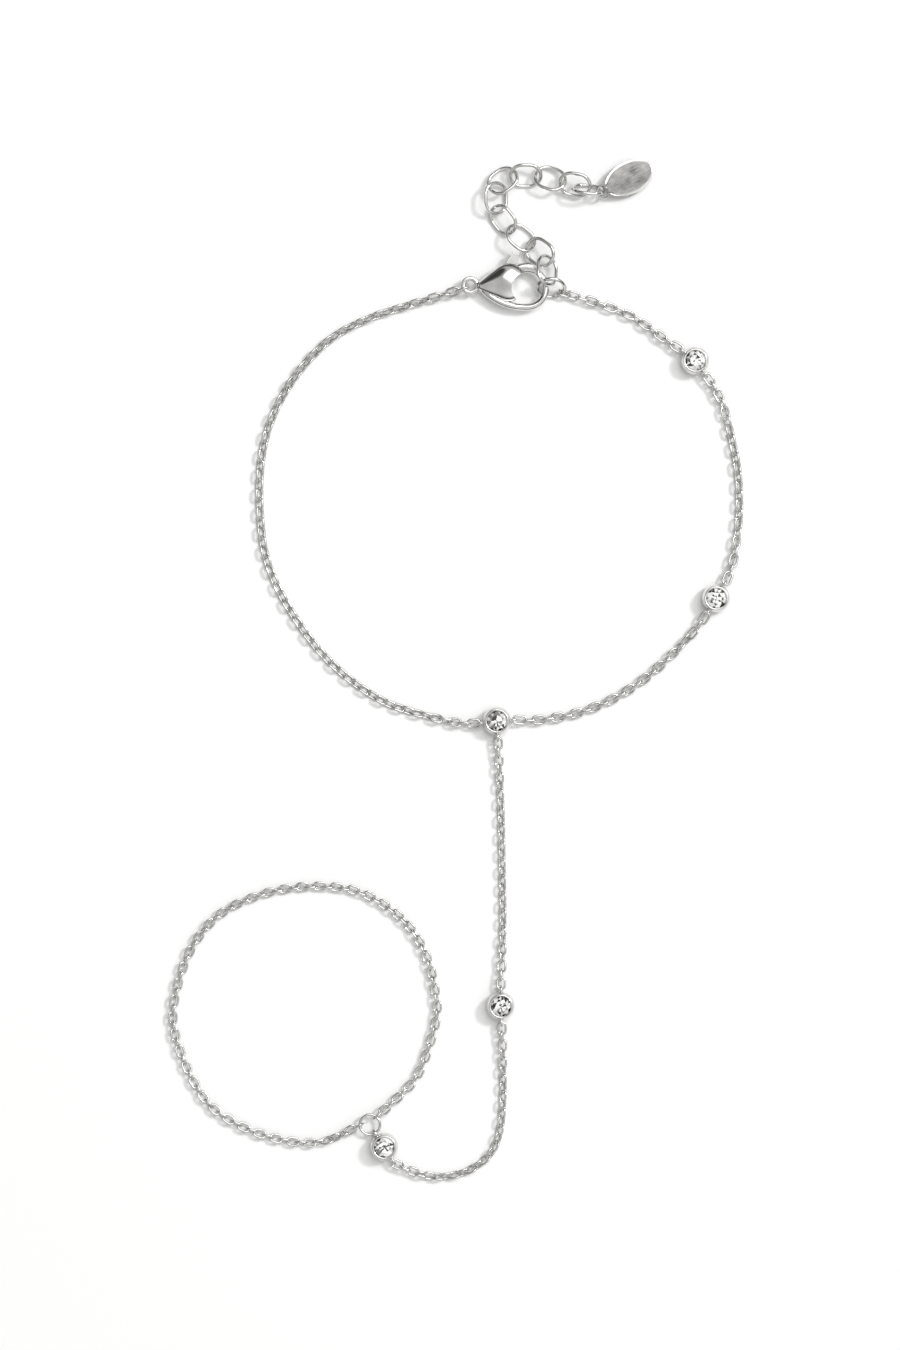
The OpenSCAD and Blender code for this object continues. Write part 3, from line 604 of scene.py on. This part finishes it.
def strength_towards(tree, way, direction, near, far, inside, outside):
    """A strength that is inside within near degrees of a direction and eases to outside at far degrees."""
    cosine = node(tree, "ShaderNodeVectorMath", {0: way}, operation="DOT_PRODUCT")
    cosine.inputs[1].default_value = np.array(direction) / np.linalg.norm(direction)
    eased = node(tree, "ShaderNodeMapRange", {"Value": cosine.outputs["Value"]},
                 interpolation_type="SMOOTHSTEP",
                 From_Min=math.cos(math.radians(far)), From_Max=math.cos(math.radians(near)),
                 To_Min=outside, To_Max=inside)
    return eased.outputs["Result"]


def studio():
    """Light room that is dark near the horizon, with a dark flag at the upper left that puts dark bands on
    the clasp and a lighter side at the right; a large soft box overhead for the white lines along the wires,
    and a smaller key light from the upper right for the shadows."""
    world = bpy.data.worlds.new("studio")
    bpy.context.scene.world = world
    world.use_nodes = True
    tree = world.node_tree
    way = node(tree, "ShaderNodeTexCoord").outputs["Generated"]
    up = node(tree, "ShaderNodeSeparateXYZ", {"Vector": way})
    sky = node(tree, "ShaderNodeValToRGB", {"Fac": up.outputs["Z"]},
               stops=[(0.0, "#0E0E0E"), (0.16, "#242424"), (0.4, "#A2A2A1"), (0.62, "#ECECEB"),
                      (0.85, "#E4E4E3"), (1.0, "#C2C2C1")])
    flag = strength_towards(tree, way, (-0.45, 0.55, 0.70), near=14, far=24, inside=0.08, outside=1.0)
    side = strength_towards(tree, way, (0.8, -0.3, 0.5), near=0, far=90, inside=1.25, outside=0.8)
    strength = node(tree, "ShaderNodeMath", {0: flag, 1: side}, operation="MULTIPLY")
    back = tree.nodes["Background"]
    tree.links.new(sky.outputs["Color"], back.inputs["Color"])
    tree.links.new(strength.outputs[0], back.inputs["Strength"])
    area_light("key", (896, 497, 1060), size_mm=200, watts=8.5)
    area_light("top", (490, 700, 1918), size_mm=1300, watts=15.5)
    bpy.context.scene.view_settings.view_transform = "Standard"


def camera():
    """Long lens straight above, framed as the photo: 0.12 mm a pixel on 900 by 1350 at the links' height."""
    middle_x, middle_y, link_top = -0.72, -0.6, 0.8
    frame_h = 162.0
    data = bpy.data.cameras.new("camera")
    data.sensor_width = 36.0
    data.lens = 150.0
    made = bpy.data.objects.new("camera", data)
    made.location = np.array([middle_x, middle_y, frame_h * data.lens / data.sensor_width + link_top]) * MM
    data.clip_start, data.clip_end = 0.01, 10.0
    bpy.context.scene.collection.objects.link(made)
    bpy.context.scene.camera = made


# ---------------------------------------------------------------- the bracelet

def dress(nodes, finishes):
    """Gives each CAD node the material of its kind."""
    for name, cad in nodes.items():
        cad.data.materials.clear()
        cad.data.materials.append(next(mat for start, mat in finishes if name.startswith(start)))


def put(piece, node_name, body="bracelet"):
    """Lets a piece take a solid's place."""
    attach(piece, body)
    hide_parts(node_name)


wire = drawn_steel_wire()
polished = cast_steel_polished()
brushed = brushed_steel_face_painted_shade()
stone = cut_stone()

nodes = frame["nodes"]
dress(nodes, [
    ("wrist_chain", wire), ("hand_chain", wire), ("finger_chain", wire), ("finger_ring", wire),
    ("extender", wire), ("tag_link", wire), ("end_ring", polished), ("setting", polished),
    ("clasp", polished), ("tag", brushed), ("stone", stone)])

for chain, facts in CHAINS.items():
    put(linked_chain(chain.replace("chain", "links"), *facts, wire), chain)

single_links = {"extender_link_%d" % i: WIDE_LINK for i in range(1, 10)}
single_links.update(tag_link=WIDE_LINK, end_ring=END_RING, finger_ring=FINGER_RING)
for name, size in single_links.items():
    put(fitted_link(name + "_wire", nodes[name], size, wire), name)

for i in range(len(STONES)):
    setting = "setting_%d" % (i + 1)
    put(brilliant(i, stone), "stone_%d" % (i + 1))
    put(smooth_copy(nodes[setting], "cup_%d" % (i + 1), polished), setting)

put(tag_plate(brushed, polished), "tag")

shell = smooth_copy(nodes["clasp_body"], "clasp_shell", polished)
round_wall(shell, HOOK_HOLE_AT, HOOK_HOLE_D / 2)
put(shell, "clasp_body")
lever = smooth_copy(nodes["clasp_trigger"], "clasp_lever", polished, sharp=16)
put(lever, "clasp_trigger", "trigger")

table()
studio()
camera()
